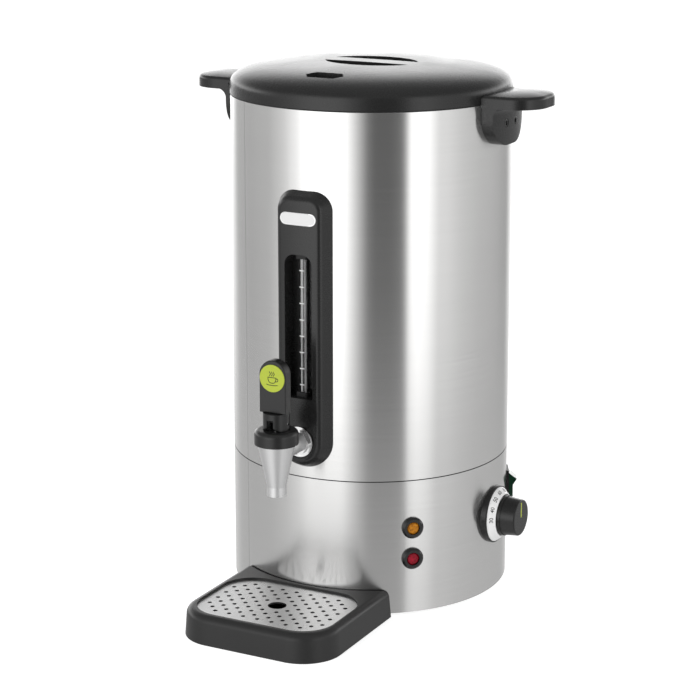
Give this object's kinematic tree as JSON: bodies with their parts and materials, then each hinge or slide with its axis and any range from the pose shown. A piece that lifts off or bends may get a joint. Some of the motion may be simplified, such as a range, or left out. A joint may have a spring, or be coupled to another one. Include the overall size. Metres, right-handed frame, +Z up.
{
  "type": "hot water urn",
  "caption": "Round steel catering boiler for hot water with a turn-lock lid, side handles, gauge panel, lever tap and drip tray.",
  "frame": {"origin": "on the axis of the round body, at the level the feet and the tray stand on", "axes": "+Z up along the body's axis, -Y towards the tap and the tray, +X towards the handle with the thermostat knob below it"},
  "size_m": [0.37, 0.4031, 0.5145],
  "materials": {
    "steel": "brushed round the body",
    "tank_steel": "smooth drawn sheet",
    "black_plastic": "satin, fine moulded grain",
    "badge": "pale, left blank",
    "tap_plastic": "polished black",
    "knob_plastic": "black, lightly polished",
    "lime": "lime green",
    "dial_white": "white with black figures",
    "green": "deep translucent green",
    "tray_plastic": "satin dark grey",
    "grille_steel": "satin, punched",
    "tap_metal": "satin chrome",
    "chrome": "polished",
    "tube_glass": "clear sight glass",
    "amber": "amber, faceted",
    "red": "red, faceted",
    "rubber": "black",
    "silicone": "pale silicone",
    "fastener_steel": "zinc plated",
    "aluminium": "cast",
    "element": "dull sheath",
    "brass": "plain",
    "inner_plastic": "moulded",
    "wire": "insulated wire",
    "button_red": "red"
  },
  "bodies": {
    "urn": {"base_shell": "steel", "base_plate": "tank_steel", "feet": "rubber", "foot_screws": "fastener_steel", "jacket": "steel", "tank": "tank_steel", "tank_posts": "fastener_steel", "heater_plate": "aluminium", "heater_element": "element", "heater_clamp": "fastener_steel", "heater_nut": "fastener_steel", "limiter_body": "inner_plastic", "terminal_block": "inner_plastic", "wiring": "wire", "cord_gland": "inner_plastic", "gland_nut": "inner_plastic", "lamp_bezels": "knob_plastic", "amber_lens": "amber", "red_lens": "red", "lamp_bodies": "inner_plastic", "switch_housing": "knob_plastic", "dial_bezel": "knob_plastic", "dial_ring": "dial_white", "thermostat_body": "inner_plastic", "thermostat_bulb": "brass", "gauge_panel": "black_plastic", "badge_plate": "badge", "gauge_tube": "tube_glass", "gauge_bushes": "rubber", "gauge_hose": "rubber", "gauge_block": "brass", "tap_body": "tap_metal", "tap_nut": "chrome", "tap_gaskets": "rubber", "tap_back_nut": "fastener_steel", "tap_bonnet": "tap_plastic", "tap_spring": "fastener_steel", "handle_right": "black_plastic", "handle_left": "black_plastic", "handle_screws": "fastener_steel", "handle_plates": "fastener_steel"},
    "lid_ring": {"lid_seal": "silicone"},
    "lid": {"lid_cover": "black_plastic", "lid_liner": "tank_steel", "lid_screws": "fastener_steel"},
    "stem": {"valve_stem": "fastener_steel", "seat_cup": "silicone", "lever_pin": "fastener_steel"},
    "lever": {"tap_lever": "tap_plastic", "lever_disc": "lime"},
    "dial": {"knob": "knob_plastic", "knob_pointer": "lime", "thermostat_spindle": "fastener_steel"},
    "rocker": {"switch_rocker": "green"},
    "reset": {"reset_button": "button_red"},
    "tray": {"tray_body": "tray_plastic"},
    "grille": {"tray_grille": "grille_steel"}
  },
  "joints": [
    {"name": "lid_lift", "type": "slide", "parent": "urn", "child": "lid_ring", "axis": [0, 0, 1], "range_m": [0, 0.12]},
    {"name": "lid_turn", "type": "hinge", "parent": "lid_ring", "child": "lid", "pos_m": [0, 0, 0.485], "axis": [0, 0, 1], "range_deg": [-12.5, 0]},
    {"name": "valve_lift", "type": "slide", "parent": "urn", "child": "stem", "axis": [0, 0, 1], "range_m": [0, 0.00325], "deforming": ["tap_spring"]},
    {"name": "lever_tilt", "type": "hinge", "parent": "stem", "child": "lever", "pos_m": [0, -0.1906, 0.2032], "axis": [1, 0, 0], "range_deg": [0, 30], "stiffness_Nm_per_rad": 0.012, "springref_deg": -34.38},
    {"name": "knob_turn", "type": "hinge", "parent": "urn", "child": "dial", "pos_m": [0.136, 0, 0.0784], "axis": [1, 0, 0], "range_deg": [-135, 135]},
    {"name": "rocker_tilt", "type": "hinge", "parent": "urn", "child": "rocker", "pos_m": [0.12118, 0.06174, 0.0894], "axis": [-0.454, 0.891, 0], "range_deg": [-20, 0]},
    {"name": "reset_press", "type": "slide", "parent": "urn", "child": "reset", "axis": [0, 0, 1], "range_m": [0, 0.002], "stiffness_N_per_m": 400, "springref_m": -0.002},
    {"name": "tray_slide", "type": "slide", "parent": "urn", "child": "tray", "axis": [0, -1, 0], "range_m": [0, 0.12]},
    {"name": "grille_lift", "type": "slide", "parent": "tray", "child": "grille", "axis": [0, 0, 1], "range_m": [0, 0.05]}
  ],
  "couplings": [
    {"joint": "valve_lift", "follows": "lever_tilt", "m_per_rad": 0.0062}
  ]
}
